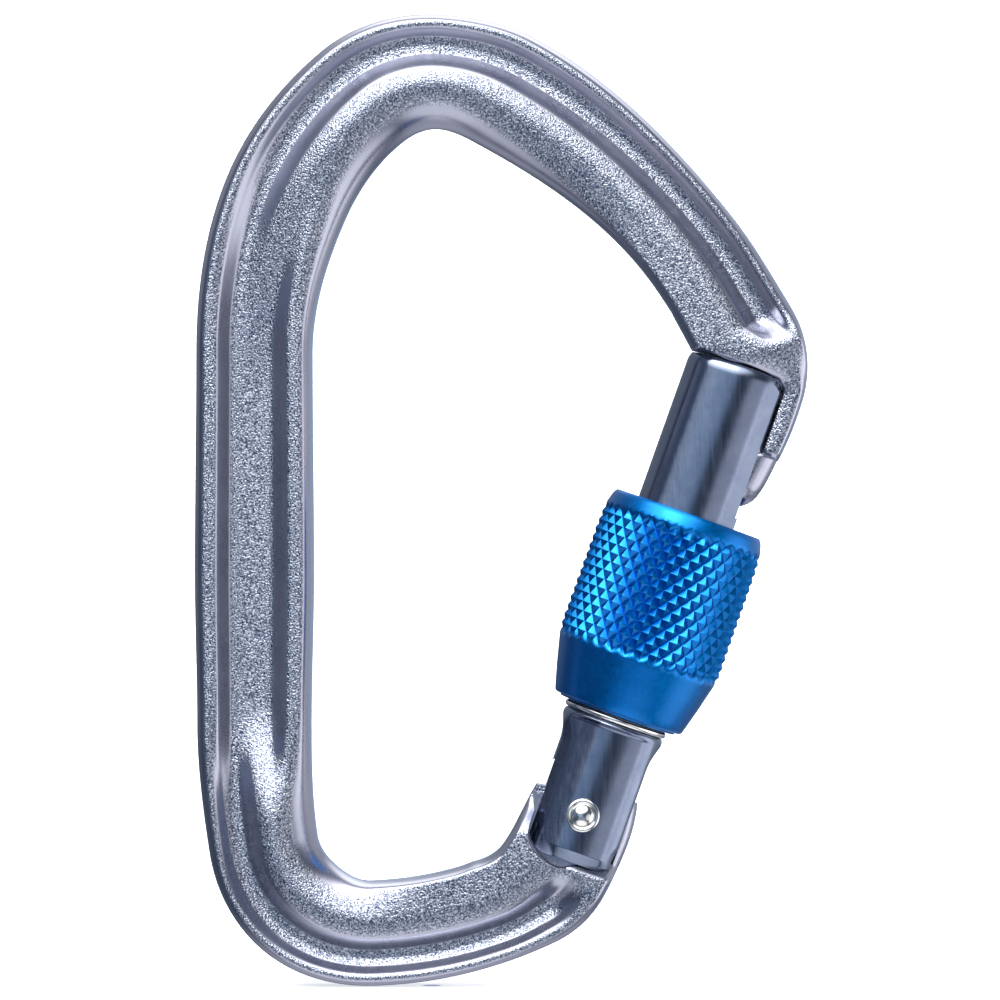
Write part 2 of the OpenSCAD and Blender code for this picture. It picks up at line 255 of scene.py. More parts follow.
def walk(x, z, heading, run, side, pitch):
    """Points (x, z, heading, place in the run) every pitch mm or so; side is 1 to turn left."""
    out = [(x, z, heading, 0.0)]
    for i, (radius, amount) in enumerate(run):
        turn = 0 if radius == 0 else side * math.radians(amount)
        length = amount if radius == 0 else radius * abs(turn)
        n = max(2, round(length / pitch))
        for k in range(n):
            d = turn / n
            step = length / n if radius == 0 else 2 * radius * math.sin(abs(d) / 2)
            x += step * math.cos(heading + d / 2)
            z += step * math.sin(heading + d / 2)
            heading += d
            out.append((x, z, heading, i + (k + 1) / n))
    return np.array(out)


def resample(path, n):
    """n + 1 points at equal steps along a line of (x, z) points."""
    p = np.asarray(path, float)[:, :2]
    s = np.r_[0, np.cumsum(np.hypot(*np.diff(p, axis=0).T))]
    t = np.linspace(0, s[-1], n + 1)
    return np.c_[np.interp(t, s, p[:, 0]), np.interp(t, s, p[:, 1])]


def rounded(points, times=3):
    """A line of points with its corners cut again and again, so that it bends evenly."""
    p = np.asarray(points, float)
    for _ in range(times):
        near, far = 0.75 * p[:-1] + 0.25 * p[1:], 0.25 * p[:-1] + 0.75 * p[1:]
        p = np.r_[p[:1], np.stack([near, far], axis=1).reshape(-1, 2), p[-1:]]
    return p


def width_at(place, widths):
    i = np.minimum(place.astype(int), len(widths) - 2)
    w = np.asarray(widths)
    return w[i] + (w[i + 1] - w[i]) * smooth(place - i)


def edges_of(path, widths, side):
    """The outer and inner edge beside a centreline."""
    half = width_at(path[:, 3], widths)[:, None] / 2
    normal = np.c_[-np.sin(path[:, 2]), np.cos(path[:, 2])] * side
    return path[:, :2] + normal * half, path[:, :2] - normal * half


def head_inner_edge():
    """The pocket the gate closes into: an arc about the pivot, a round corner and a straight wall."""
    reach = HEAD_REACH - HEAD_CORNER
    low_angle = math.asin(-5.36 / HEAD_REACH)
    cr = HEAD_WALL - HEAD_CORNER
    cz = math.sqrt(reach ** 2 - cr ** 2)
    top_angle = math.asin(cr / reach)
    swing = np.linspace(low_angle, top_angle, 40)
    pts = [(HEAD_REACH * math.sin(a), HEAD_REACH * math.cos(a)) for a in swing]
    pts += arc(cr, cz, HEAD_CORNER, 90 - math.degrees(top_angle), 0, 14)[1:]
    wall = [(HEAD_WALL, z) for z in np.linspace(cz, NOSE_STEP, 20)][1:]
    return side_view(pts), side_view([pts[-1]] + wall)


def hinge_edges(path, outer_start, inner_start):
    """Matching outer and inner edge from the lower run to the hinge, in step at the ear's bend."""
    outer = walk(*outer_start, path[-1, 2], HINGE_OUTER, 1, 0.1)
    inner = walk(*inner_start, path[-1, 2], HINGE_INNER, 1, 0.8)[:, :2]
    inner = rounded(np.r_[inner, side_view(EAR_EDGE)])
    first = HINGE_STATIONS // 2
    rest = HINGE_STATIONS - first
    cut_out = np.searchsorted(outer[:, 3], 1.0)
    cut_in = np.argmin(np.hypot(*(inner - side_view([EAR_BEND])[0]).T))
    return (np.r_[resample(outer[:cut_out + 1], first), resample(outer[cut_out:], rest)[1:]],
            np.r_[resample(inner[:cut_in + 1], first), resample(inner[cut_in:], rest)[1:]])


def head_edges(path, outer_start, inner_start):
    """Matching outer and inner edge of the head, as lists of three parts."""
    head = walk(*outer_start, path[-1, 2], HEAD_OUTER, -1, 0.1)
    marks = [0] + [np.searchsorted(head[:, 3], float(k)) for k in (1, 2)] + [len(head) - 1]
    arc_edge, wall_edge = head_inner_edge()
    inner_parts = [np.array([inner_start, arc_edge[0]]), arc_edge, wall_edge]
    outer_parts = [head[marks[k]:marks[k + 1] + 1] for k in range(3)]
    return ([resample(part, n)[1:] for part, n in zip(outer_parts, HEAD_STATIONS)],
            [resample(part, n)[1:] for part, n in zip(inner_parts, HEAD_STATIONS)])


def bow_edges():
    """Matching points of the outer and inner edge from the hinge to the nose, and each one's place."""
    up = walk(*SPINE_START, math.pi / 2, UPPER_RUN, -1, COARSE_STEP)
    down = walk(*SPINE_START, -math.pi / 2, LOWER_RUN, 1, COARSE_STEP)
    up_out, up_in = edges_of(up, UPPER_WIDTH, 1)
    down_out, down_in = edges_of(down, LOWER_WIDTH, -1)
    hinge_out, hinge_in = hinge_edges(down, down_out[-1], down_in[-1])
    head_out, head_in = head_edges(up, up_out[-1], up_in[-1])
    parts_out = [hinge_out[::-1][:-1], down_out[::-1][:-1], up_out] + head_out
    parts_in = [hinge_in[::-1][:-1], down_in[::-1][:-1], up_in] + head_in
    # Place along the bow: 0 to 1 hinge, 1 to 2 lower run, 2 to 3 upper run, 3 to 6 the head's three parts.
    place = np.concatenate([i + (np.arange(len(p)) + 0.5) / len(p) for i, p in enumerate(parts_out)])
    return np.concatenate(parts_out), np.concatenate(parts_in), place


# Half thickness across the bow, outer edge to inner edge, as (share of the width, mm).
SPINE_SECTION = [(0, 4.15), (0.1, 4.2), (0.185, 4.15), (0.3, 2.25), (0.48, 2.15), (0.66, 2.25),
                 (0.79, 4.1), (0.9, 4.2), (1, 4.1)]
BASKET_SECTION = [(0, 3.1), (0.05, 3.6), (0.095, 3.85), (0.13, 3.7), (0.2, 2.7), (0.27, 2.4),
                  (0.355, 2.5), (0.475, 4.3), (0.53, 4.62), (0.6, 4.88), (0.66, 4.95), (1, 4.95)]
STRIP_LENGTH, STRIP_BEVEL = 7.0, 0.6
STRIP_SECTION = [(0, 2.85), (0.15, 3.05), (0.5, 3.2), (0.85, 3.15), (1, 3.0)]
SOLID_SECTION = [(0, 4.3), (0.15, 4.5), (0.35, 4.75), (0.55, 4.9), (0.8, 4.9), (1, 4.8)]
# Rounding of the two edges: (share of the width, fullness, share of the height left at the very edge).
SPINE_ROUND = ((0.1, 2.3, 0), (0.12, 2.3, 0))
BASKET_ROUND = ((0.075, 2.2, 0), (0.46, 2.1, 0))
ARM_ROUND = ((0.065, 2.2, 0), (0.06, 2.2, 0))
SOLID_ROUND = ((0.075, 2.2, 0), (0.05, 2.2, 0))
POCKET_ROUND = ((0.075, 2.2, 0), (0.055, 1, 0.935))
STRIP_ROUND = ((0.3, 2.4, 0), (0.04, 2, 0))
LEAST_HALF = 0.12
# Where each section takes over: (place along the bow, over how far).
SPINE_FROM, SPINE_TO = (1.42, 0.28), (2.2, 0.32)
GROOVE_FROM, GROOVE_TO = (0.3, 0.17), (3.95, 0.4)
LOWER_ARM_TO, UPPER_ARM_FROM = (0.75, 0.6), (2.6, 0.4)
POCKET_FROM, STRIP_FROM = (3.75, 0.35), (4.3, 0.7)
# Beside the gate's foot the bow thins to the tang: (height in the gate's frame, over how far).
EAR_THINS, CHEEK_THINS = (-4.2, 4.6), (-5.8, 2.0)
TANG_EDGE = 0.95


def section_samples():
    """Shares of the width, close together where the edges round off."""
    a = np.linspace(0, math.pi / 2, 11)
    b = np.linspace(0, math.pi / 2, 19)
    middle = np.linspace(0.1, 0.58, 30)[1:-1]
    return np.r_[0.1 * (1 - np.cos(a)), middle, 1 - 0.42 * (1 - np.cos(b[::-1]))]


def section_heights(t, points, rounding):
    """Half thickness at each share t: the drawn section, softened a little, with both edges rounded off."""
    p = np.asarray(points, float)
    fine = np.linspace(-0.1, 1.1, 601)
    h = np.interp(fine, p[:, 0], p[:, 1])
    k = np.hanning(17)
    h = np.interp(t, fine, np.convolve(h, k / k.sum(), mode="same"))
    for from_edge, (share, fullness, left) in zip((t, 1 - t), rounding):
        fall = (1 - np.clip(from_edge / share, 0, 1)) ** fullness
        h = h * (left + (1 - left) * (1 - fall) ** (1 / fullness))
    return h


def past(place, start):
    """0 before a (place, over how far), to 1 past it."""
    return smooth((place - start[0]) / start[1])


def tangent(centre, radius, angle):
    a = math.radians(angle)
    return angle, centre[0] * math.cos(a) + centre[1] * math.sin(a) + radius


# Foot of the gate: (facing angle, distance from the pivot) of its sides and of tangents to its round corners.
FOOT_LEFT, FOOT_RIGHT = ((-2.35, -2.6), 2.4), ((3.25, -3.5), 1.5)
FOOT_SIDES = [(180, 4.75)] + [tangent(*FOOT_LEFT, a) for a in range(190, 270, 10)] + [(270, 5.0)]
FOOT_SIDES += [tangent(*FOOT_RIGHT, a) for a in range(280, 360, 10)] + [(360, 4.75)]


def foot_distance(r, u, sides):
    """How far points lie outside some of the foot's sides, in mm; negative inside."""
    out = np.full(np.shape(r), -99.0)
    for facing, d in sides:
        a = math.radians(facing)
        out = np.maximum(out, r * math.cos(a) + u * math.sin(a) - d)
    return out


def foot_reach(angle, turn, cap):
    """How far the foot, turned by an angle, reaches from the pivot in a direction."""
    aims = [(d, math.cos(angle - turn - math.radians(facing))) for facing, d in FOOT_SIDES]
    return min((d / aim for d, aim in aims if aim > 0.25), default=cap)


def swept_outline(gap, cap=14.0):
    """Outline of the foot's swept space about the pivot, widened by a gap."""
    pts = []
    for a in np.radians(np.arange(0, 360, 1.5)):
        reach = max(foot_reach(a, t, cap) for t in np.linspace(0, OPEN_ANGLE, 19))
        reach = min(reach + gap, cap)
        pts.append((reach * math.cos(a), reach * math.sin(a)))
    return pts


def beside_foot(t, x, z, width, place):
    """How far the bow thins beside the gate's foot, and the tang's half thickness with a full round edge."""
    r, u = to_gate(x, z)
    share = (past(u, EAR_THINS) * (r < 0) + past(u, CHEEK_THINS) * (r >= 0)) * (place < 1)[:, None]
    from_edge = t * width[:, None]
    return share, TANG_HALF * np.sqrt(1 - np.clip(1 - from_edge / TANG_EDGE, 0, 1) ** 2)


def bow_heights(t, outer, inner, place):
    """The grid of stations and shares: x, z and half thickness."""
    spine = section_heights(t, SPINE_SECTION, SPINE_ROUND)
    basket = section_heights(t, BASKET_SECTION, BASKET_ROUND)
    arm = section_heights(t, BASKET_SECTION, ARM_ROUND)
    solid = section_heights(t, SOLID_SECTION, SOLID_ROUND)
    pocket = section_heights(t, SOLID_SECTION, POCKET_ROUND)
    strip = section_heights(t, STRIP_SECTION, STRIP_ROUND)
    # Shares of each section at each station
    at = place[:, None]
    s = past(at, SPINE_FROM) * (1 - past(at, SPINE_TO))
    g = past(at, GROOVE_FROM) * (1 - past(at, GROOVE_TO))
    m = past(at, UPPER_ARM_FROM) + 1 - past(at, LOWER_ARM_TO)
    k = past(at, POCKET_FROM)
    w = past(at, STRIP_FROM)
    plain = (solid * (1 - k) + pocket * k) * (1 - w) + strip * w
    grooved = basket * (1 - m) + arm * m
    h = (grooved * (1 - s) + spine * s) * g + plain * (1 - g)
    # The strip beside the nose ends in a bevel
    to_end = (place[-1] - at) * STRIP_LENGTH
    h = h - STRIP_BEVEL * np.clip(1 - to_end / STRIP_BEVEL, 0, 1)
    x = outer[:, None, 0] + (inner - outer)[:, None, 0] * t
    z = outer[:, None, 1] + (inner - outer)[:, None, 1] * t
    share, tang = beside_foot(t, x, z, np.hypot(*(inner - outer).T), place)
    return x, z, h * (1 - share) + np.minimum(h, tang) * share


# The foot's pocket widens to a soft lip: (distance from the middle plane, widening).
POCKET_LIP = [(TANG_HALF, 0), (4.5, 0), (4.66, 0.04), (4.78, 0.11), (4.88, 0.24), (5.0, 0.5), (9, 0.5)]


def foot_pocket(side):
    """Cutter for the space that one cheek of the gate's foot swings in."""
    rings = []
    for y, grow in POCKET_LIP:
        rings.append(on_gate([(r, side * y, u) for r, u in swept_outline(SWING_GAP + grow)]))
    return loft("foot_pocket", rings)


def round_bore(name, radius):
    """Cutter for a round hole right through the hinge."""
    return prism(name, arc(0, 0, radius, 0, 352.5, 48), -8, 8)


def make_bow():
    """The forging: blended sections cut for the gate's foot, with the nose, tang and rivet bore."""
    outer, inner, place = bow_edges()
    t = section_samples()
    x, z, h = bow_heights(t, outer, inner, place)
    h = np.maximum(h, LEAST_HALF)
    front = np.stack([x, h, z], axis=2)
    back = np.stack([x, -h, z], axis=2)[:, ::-1]
    rings = np.concatenate([front, back], axis=1)
    bow = loft("bow", rings, sharp=50)
    recalc(bow)
    for side in (1, -1):
        carve(bow, foot_pocket(side))
    carve(bow, make_nose(), "UNION")
    carve(bow, make_tang(), "UNION")
    carve(bow, round_bore("bore", RIVET_R + RIVET_PLAY))
    bow.data.set_sharp_from_angle(angle=math.radians(50))
    return bow


# Faces cut rather than blasted: the tang, right of a place and near the pivot, and the nose below its step.
TANG_FROM, TANG_REACH = -4.6, 7.5
NOSE_FROM, NOSE_SHOULDER, NOSE_THICK = 35, 0.9, 2.85


def mark_machined(bow):
    """Gives the second material to the faces of the tang and the nose."""
    for face in bow.data.polygons:
        r, u = to_gate(face.center.x / MM, face.center.z / MM)
        y = abs(face.center.y) / MM
        tang = r > TANG_FROM and math.hypot(r, u) < TANG_REACH and y < TANG_HALF + 0.01
        nose = r > 0.5 and NOSE_FROM < u < NOSE_STEP + NOSE_SHOULDER and y < NOSE_THICK
        face.material_index = int(tang or nose)


# Keylock nose, in the gate's frame: (height, value) pairs for its outer side, inner side and half thickness.
NOSE_OUT = [(35.4, 4.4), (35.6, 4.9), (36, 5.42), (36.5, 5.82), (37, 6.08), (38, 6.38), (39, 6.56), (40, 6.7),
            (41.4, 6.85), (41.7, 5.7), (50.7, 5.7)]
NOSE_IN = [(35.4, 4.1), (35.5, 3.2), (35.8, 1.9), (36.4, 1.0), (37.3, 0.6), (50.7, 0.6)]
NOSE_HALF = [(35.4, 0.5), (35.55, 1.3), (35.9, 2.0), (36.5, 2.5), (37.5, 2.8), (41.2, 2.8), (42.1, 2.15),
             (50.7, 2.15)]
NOSE_ROUND, NOSE_INNER_ROUND = 2.1, 0.35
NOSE_FULLNESS = 2.2
NOSE_STEPS = [(35.4, 37.5, 22), (37.8, 41.1, 10), (41.25, 42.3, 9)]
NECK_HEIGHTS = [44, 47, 50.7]


def make_nose():
    """The bulb and neck that the gate closes over: a flat tongue with a full round outer edge."""
    heights = np.concatenate([np.linspace(*step) for step in NOSE_STEPS] + [NECK_HEIGHTS])
    share = (1 - np.cos(np.linspace(0, math.pi, 40))) / 2
    rings = []
    for u in heights:
        hi, lo, w = (np.interp(u, *np.array(table).T) for table in (NOSE_OUT, NOSE_IN, NOSE_HALF))
        r = hi - (hi - lo) * share
        outer = np.clip(1 - (hi - r) / NOSE_ROUND, 0, 1)
        inner = np.clip(1 - (r - lo) / NOSE_INNER_ROUND, 0, 1)
        y = w * (1 - outer ** NOSE_FULLNESS) ** (1 / NOSE_FULLNESS) * np.sqrt(1 - inner ** 2)
        half = np.c_[r, y]
        ring = np.r_[half, (half * (1, -1))[-2:0:-1]]
        rings.append(on_gate(np.c_[ring, np.full(len(ring), u)]))
    nose = loft("nose", rings)
    recalc(nose)
    return nose


# The cam: the plunger's nose centre when closed, its rise for each radian, and the nose's radius with play.
CAM_LIFT, CAM_RISE, CAM_NOSE = 4.2, 1.9, 1.23


def cam_point(angle):
    """Cam face of the tang: the plunger nose's path, moved in by the nose's radius."""
    r = CAM_LIFT + CAM_RISE * angle
    out = np.array([-math.sin(angle), math.cos(angle)])
    along = np.array([-math.cos(angle), -math.sin(angle)])
    return r * out - CAM_NOSE * (r * out - CAM_RISE * along) / math.hypot(r, CAM_RISE)


def make_tang():
    """The flat tongue between the gate's cheeks, with the cam that lifts the plunger."""
    outline = [tuple(cam_point(math.radians(a))) for a in range(42, -7, -3)]
    outline += [(0.95, 2.86), (1.7, 2.62), (3.9, 2.95)] + arc(3.7, 2.1, 0.85, 80, 20, 6)
    outline += [(4.5, 0), (4.5, -1.6), (4.2, -4), (0, -5), (-5.2, -4), (-5.5, -1.2), (-5.3, 0.4), (-4.6, 0.6),
                (-4.2, 1.9)]
    return prism("tang", outline, -TANG_HALF + 0.02, TANG_HALF - 0.02)


# ---------------------------------------------------------------- gate

# Flats of the gate: (facing angle, distance from the axis). The broad front face is slightly crowned.
LOWER_FLATS = [(0, 4.75), (54, 5.32), (70, 4.98), (81, 4.8), (90, 4.8), (99, 4.8), (117, 4.83), (145, 4.92),
               (180, 4.75)]
UPPER_FLATS = [(0, 4.85), (54, 5.1), (70, 4.88), (81, 4.8), (90, 4.8), (99, 4.8), (108, 5.01), (135, 5.41),
               (155, 5.46), (180, 5.5)]
# Where the flats of the lower end curve out to the round: (height, rate), side flats and front flats.
SIDE_RUN_OUT = (6.4, 0.087)
FRONT_RUN_OUT = (9.15, 2.4)
COLLAR_FROM, COLLAR_DROP, COLLAR_LENGTH = 9.3, 0.3, 0.7
TURNED_FROM = 11
NECK = (31.4, 32.6)
UNLIMITED = 9
TOP_FILLET = (1.25, 0.6)
EDGE_SHARPNESS = 70
GATE_COLUMNS = 216
GATE_STEPS = [(-5.1, -2.1, 44), (-1.8, 6.2, 9), (6.5, 9.1, 20), (9.15, 11.9, 40), (12.02, 32.7, 174),
              (33.5, 48, 14), (48.1, 49.35, 20)]
# T-shaped pocket for the nose, as (through, up) points, and how far outward it starts.
NOSE_POCKET = [(-2.95, 34.2), (2.95, 34.2), (2.95, 41.35), (2.3, 42.3), (2.3, 52), (-2.3, 52), (-2.3, 42.3),
               (-2.95, 41.35)]
POCKET_DEPTH = 0.45


def ellipse_drop(t):
    """0 to 1 along a quarter of an ellipse, from level to nearly upright."""
    return 1 - math.sqrt(1 - min(max(t, 0), 0.97) ** 2)


def facet_radius(phi, flats, side, front, limit):
    """Distance in directions phi to a polygon of flats moved out by side or front, within a round bar."""
    inv = np.full_like(phi, (1 / limit) ** EDGE_SHARPNESS)
    for facing, d in flats:
        move = front if 50 < facing < 120 else side
        for a in ({facing, -facing} if facing not in (0, 180) else {facing}):
            inv = inv + np.maximum(np.cos(phi - math.radians(a)) / (d + move), 0) ** EDGE_SHARPNESS
    return inv ** (-1 / EDGE_SHARPNESS)


def thread_height(phi, u, low, high):
    """0 to 1 across a helical ridge of the locking thread between two heights."""
    base_half, crest_half = THREAD_RIDGE
    lead = u - low - THREAD_PITCH * phi / (2 * math.pi)
    off = np.abs((lead + THREAD_PITCH / 2) % THREAD_PITCH - THREAD_PITCH / 2)
    ridge = np.clip((base_half - off) / (base_half - crest_half), 0, 1)
    ends = smooth((u - low) / 0.8) * (1 - smooth((u - high + 0.8) / 0.8))
    return ridge * ends


def run_out(u, start, rate):
    """How far a flat has curved outward at a height."""
    return rate * max(0, u - start) ** 2


def lower_radius(phi, u):
    """The flats above the foot, the collar they run out into and the groove that holds the ring."""
    collar = THREAD_R - COLLAR_DROP * ellipse_drop((u - COLLAR_FROM) / COLLAR_LENGTH)
    groove = RING_GROOVE_R ** 2 - (u - RING_HEIGHT) ** 2
    limit = RING_GROOVE_SEAT - math.sqrt(groove) if groove > 0 else collar
    return facet_radius(phi, LOWER_FLATS, run_out(u, *SIDE_RUN_OUT), run_out(u, *FRONT_RUN_OUT), limit)


def gate_radius(phi, u):
    """Distance from the gate's axis in directions phi at a height."""
    if u < TURNED_FROM:
        return lower_radius(phi, u)
    core = THREAD_R - THREAD_H
    turned = THREAD_R + (core - THREAD_R) * smooth((u - 11.4) / 0.5)
    turned = turned + THREAD_H * thread_height(phi, u, *GATE_THREAD)
    inset = TOP_FILLET[1] * ellipse_drop((u - (GATE_REACH - TOP_FILLET[0])) / TOP_FILLET[0])
    upper = facet_radius(phi, UPPER_FLATS, -inset, -inset, UNLIMITED)
    b = smooth((u - NECK[0]) / (NECK[1] - NECK[0]))
    return turned * (1 - b) + upper * b


# Bevel along the foot's rounded bottom edge: (width, drop); only faces this far from the middle fall away.
FOOT_BEVEL = (1.15, 0.52)
CHEEK_MIDDLE = 2.6


def foot_bevel(r, y, u):
    """Lets the foot's broad faces fall away towards its bottom edge."""
    under = [(facing, d) for facing, d in FOOT_SIDES if 200 < facing < 340]
    inside = -foot_distance(r, u, sides=under)
    drop = FOOT_BEVEL[1] * np.clip(1 - inside / FOOT_BEVEL[0], 0, 1)
    return y - np.sign(y) * drop * (np.abs(y) > CHEEK_MIDDLE)


def gate_outline():
    """The gate seen from the front: rounded foot corners, an arc about the pivot at the top."""
    line = arc(*FOOT_LEFT[0], FOOT_LEFT[1], 180, 270) + arc(*FOOT_RIGHT[0], FOOT_RIGHT[1], 270, 360)
    line += [(7, -3.45), (7, 36), (4.9, 37)] + arc(3.3, 47, 1.58, 0, 74, 12)
    swing = np.radians(np.linspace(4.3, -6.2, 30))
    top = [(GATE_REACH * math.sin(a), GATE_REACH * math.cos(a)) for a in swing]
    return line + top + [(-7, 47), (-7, -2.55)]


def slot_outline():
    """The slot between the cheeks, open below, with a round top about the pivot."""
    round_top = arc(0, 0, SLOT_TOP, 2, 178, 60)
    return [(-9, -8), (9, -8), (9, 0.0), (SLOT_TOP, 0.0)] + round_top + [(-SLOT_TOP, 0.0), (-9, 0.0)]


def make_gate():
    """A faceted bar with a thread and collar, cut to its outline, hinge slot, spring bore and nose pocket."""
    turns = np.linspace(-math.pi, math.pi, GATE_COLUMNS, endpoint=False)
    rings = []
    for u in np.concatenate([np.linspace(*step) for step in GATE_STEPS]):
        radius = gate_radius(turns, u)
        r, y, up = radius * np.cos(turns), radius * np.sin(turns), np.full_like(radius, u)
        rings.append(on_gate(np.c_[r, foot_bevel(r, y, up) if u < -2 else y, up]))
    gate = loft("gate_body", rings, sharp=30)
    recalc(gate)
    carve(gate, prism("envelope", gate_outline(), -9, 9), "INTERSECT")
    carve(gate, prism("slot", slot_outline(), -SLOT_HALF, SLOT_HALF))
    carve(gate, revolve("bore", [(0, 3), (BORE_R, 3), (BORE_R, BORE_TOP), (0, BORE_TOP)], columns=64))
    carve(gate, prism("pocket", NOSE_POCKET, POCKET_DEPTH, 10, across_gate))
    carve(gate, round_bore("rivet_bore", RIVET_R))
    return gate


# ---------------------------------------------------------------- turned and coiled pieces


# One formed head of the rivet, as (radius, height over the cheek), from its shank to its middle.
RIVET_HEAD = [(1.4, -0.3), (1.4, 0), (1.68, 0.0), (1.74, 0.05), (1.75, 0.13), (1.69, 0.23), (1.58, 0.29),
              (1.46, 0.29), (1.36, 0.25), (1.28, 0.2), (1.23, 0.2), (1.19, 0.25), (1.12, 0.36), (1, 0.48),
              (0.82, 0.6), (0.58, 0.7), (0.32, 0.76), (0.12, 0.78)]
HEAD_TOP = 0.78
ON_AXIS = 0.001
# Plunger above its round nose, as (radius, height).
PLUNGER_R, PLUNGER_NOSE_AT = 1.2, 4.2
PLUNGER_BODY = [(1.2, 5.2), (1.88, 5.95), (1.95, 6.05), (1.95, 9.3), (1.88, 9.4), (1.1, 9.4), (1.1, 11.65),
                (0.95, 11.8), (ON_AXIS, 11.8)]
SPRING_WIRE, SPRING_R, SPRING_COILS = 0.22, 1.6, 9
SPRING_LOW, SPRING_HIGH = 9.64, 23.96
COIL_STEPS = 40


def make_rivet():
    """Shank with a formed head at each end: a raised rim round a domed centre."""
    up = [(r, CHEEK_FACE + h) for r, h in RIVET_HEAD]
    end = CHEEK_FACE + HEAD_TOP
    profile = [(ON_AXIS, -end)] + [(r, -u) for r, u in up[::-1]] + up + [(ON_AXIS, end)]
    place = lambda p: on_gate(np.c_[p[:, 0], p[:, 2], p[:, 1]])
    rivet = revolve("hinge_rivet", profile, columns=72, place=place)
    recalc(rivet)
    return rivet


def make_ring():
    """Round wire bent into an open ring."""
    gap = math.radians(14)
    turns = np.linspace(0, 2 * math.pi, 20, endpoint=False)
    p = [(RING_SEAT + RING_WIRE * math.cos(a), RING_HEIGHT + RING_WIRE * math.sin(a)) for a in turns]
    start = math.pi / 2 + gap / 2
    c, s = math.cos(start), math.sin(start)
    place = lambda q: on_gate(np.c_[q[:, 0] * c - q[:, 1] * s, q[:, 0] * s + q[:, 1] * c, q[:, 2]])
    ring = revolve("wire_ring", p, columns=180, place=place, closed=True, sweep=2 * math.pi - gap)
    recalc(ring)
    return ring


def make_plunger():
    """Round nose, guide and the stem that the spring sits on."""
    turns = np.linspace(0.02, math.pi / 2, 12)
    nose = [(PLUNGER_R * math.sin(a), PLUNGER_NOSE_AT - PLUNGER_R * math.cos(a)) for a in turns]
    plunger = revolve("spring_plunger", nose + PLUNGER_BODY, columns=64)
    recalc(plunger)
    return plunger


def make_spring():
    """Coiled wire from the plunger's shoulder to the top of the bore."""
    steps = SPRING_COILS * COIL_STEPS
    b = np.linspace(0, 2 * math.pi, 10, endpoint=False)
    r = SPRING_R + SPRING_WIRE * np.cos(b)
    rings = []
    for i in range(steps + 1):
        a = i * 2 * math.pi / COIL_STEPS
        u = SPRING_LOW + (SPRING_HIGH - SPRING_LOW) * i / steps
        rings.append(on_gate(np.c_[r * math.cos(a), r * math.sin(a), u + SPRING_WIRE * np.sin(b)]))
    spring = loft("coil_spring", rings)
    recalc(spring)
    return spring


# ---------------------------------------------------------------- locking sleeve

KNURL_AROUND = 34
KNURL_STEP = 0.95
KNURL_LOW, KNURL_ROWS = 17.1, 15
KNURL_DEPTH = 0.56
KNURL_FINE = 3


# Outer side of the sleeve before knurling: (height, radius), and the heights of its two smooth bands.
SLEEVE_OUTLINE = [(10.84, 6.1), (10.88, 6.25), (11.05, 6.3), (11.1, 6.75), (11.2, 6.93), (11.4, 7.03),
                  (14, 7.75), (17, 8.5), (18.2, 8.74), (19.2, 8.72), (24, 8.7), (29, 8.68), (30.6, 8.6),
                  (31.6, 8.42), (32.3, 8.22), (32.75, 8.05), (33, 7.82)]
LOWER_BAND = (10.84, 10.88, 11.05, 11.1, 11.15, 11.25, 11.45, 12.2, 13.1, 14, 14.8, 15.6, 16.2, 16.6, 16.9)
UPPER_BAND = (31.5, 31.8, 32.1, 32.4, 32.65, 32.85, 32.95, 33)
# Inner side as (radius, height): the lip and hood above the thread, and the mouth below it.
HOOD_R, BORE_INSIDE = 7.2, THREAD_R + THREAD_PLAY
SLEEVE_HOOD = [(7.6, 33.0), (7.35, 32.95), (7.22, 32.8), (HOOD_R, 32.5), (HOOD_R, 29), (HOOD_R, 25.4),
               (7.1, 25.1), (BORE_INSIDE, 24.0)]
SLEEVE_MOUTH = [(BORE_INSIDE, 12.2), (6.0, 11.9), (6.0, 10.84)]


def sleeve_radius(u):
    """Outer radius of the sleeve before knurling."""
    return np.interp(u, *np.array(SLEEVE_OUTLINE).T)


def knurl(col, row):
    """0 in a groove to 1 on a point, at column and row counted in half pitches."""
    a = np.abs((col + 1) % 2 - 1)
    b = np.abs((row + 1) % 2 - 1)
    f = np.abs(1 - (a + b))
    return np.minimum(f, 0.9) / 0.9


def sleeve_rings(turn, col):
    """Rings (radii, height, row of the knurl or None) up the sleeve's outer side and down its inner side."""
    rings = [(sleeve_radius(u), u, None) for u in LOWER_BAND]
    for k in range(KNURL_ROWS * KNURL_FINE + 1):
        row = k / KNURL_FINE
        u = KNURL_LOW + row * KNURL_STEP
        fade = smooth((row + 0.35) / 1.1) * smooth((KNURL_ROWS + 0.35 - row) / 1.1)
        rings.append((sleeve_radius(u) - KNURL_DEPTH * (1 - knurl(col, row)) * fade * 0.85, u, row))
    rings += [(sleeve_radius(u), u, None) for u in UPPER_BAND]
    rings += [(r, u, None) for r, u in SLEEVE_HOOD]
    for u in np.linspace(23.85, 12.4, 87):
        rings.append((BORE_INSIDE - THREAD_H * thread_height(turn, u, *SLEEVE_THREAD), u, None))
    return rings + [(r, u, None) for r, u in SLEEVE_MOUTH]


def sleeve_faces(rows, col):
    """Quads round the sleeve, split in two along the grooves where it is knurled."""
    n, m = len(rows), len(col)
    faces = []
    for i in range(n):
        a0, b0 = i * m, ((i + 1) % n) * m
        for k in range(m):
            q = (a0 + k, a0 + (k + 1) % m, b0 + (k + 1) % m, b0 + k)
            if rows[i] is None or rows[(i + 1) % n] is None:
                faces.append(q)
            elif (int(rows[i] + 0.01) + int(col[k] + 0.01)) % 2:
                faces += [(q[0], q[1], q[2]), (q[0], q[2], q[3])]
            else:
                faces += [(q[0], q[1], q[3]), (q[1], q[2], q[3])]
    return faces


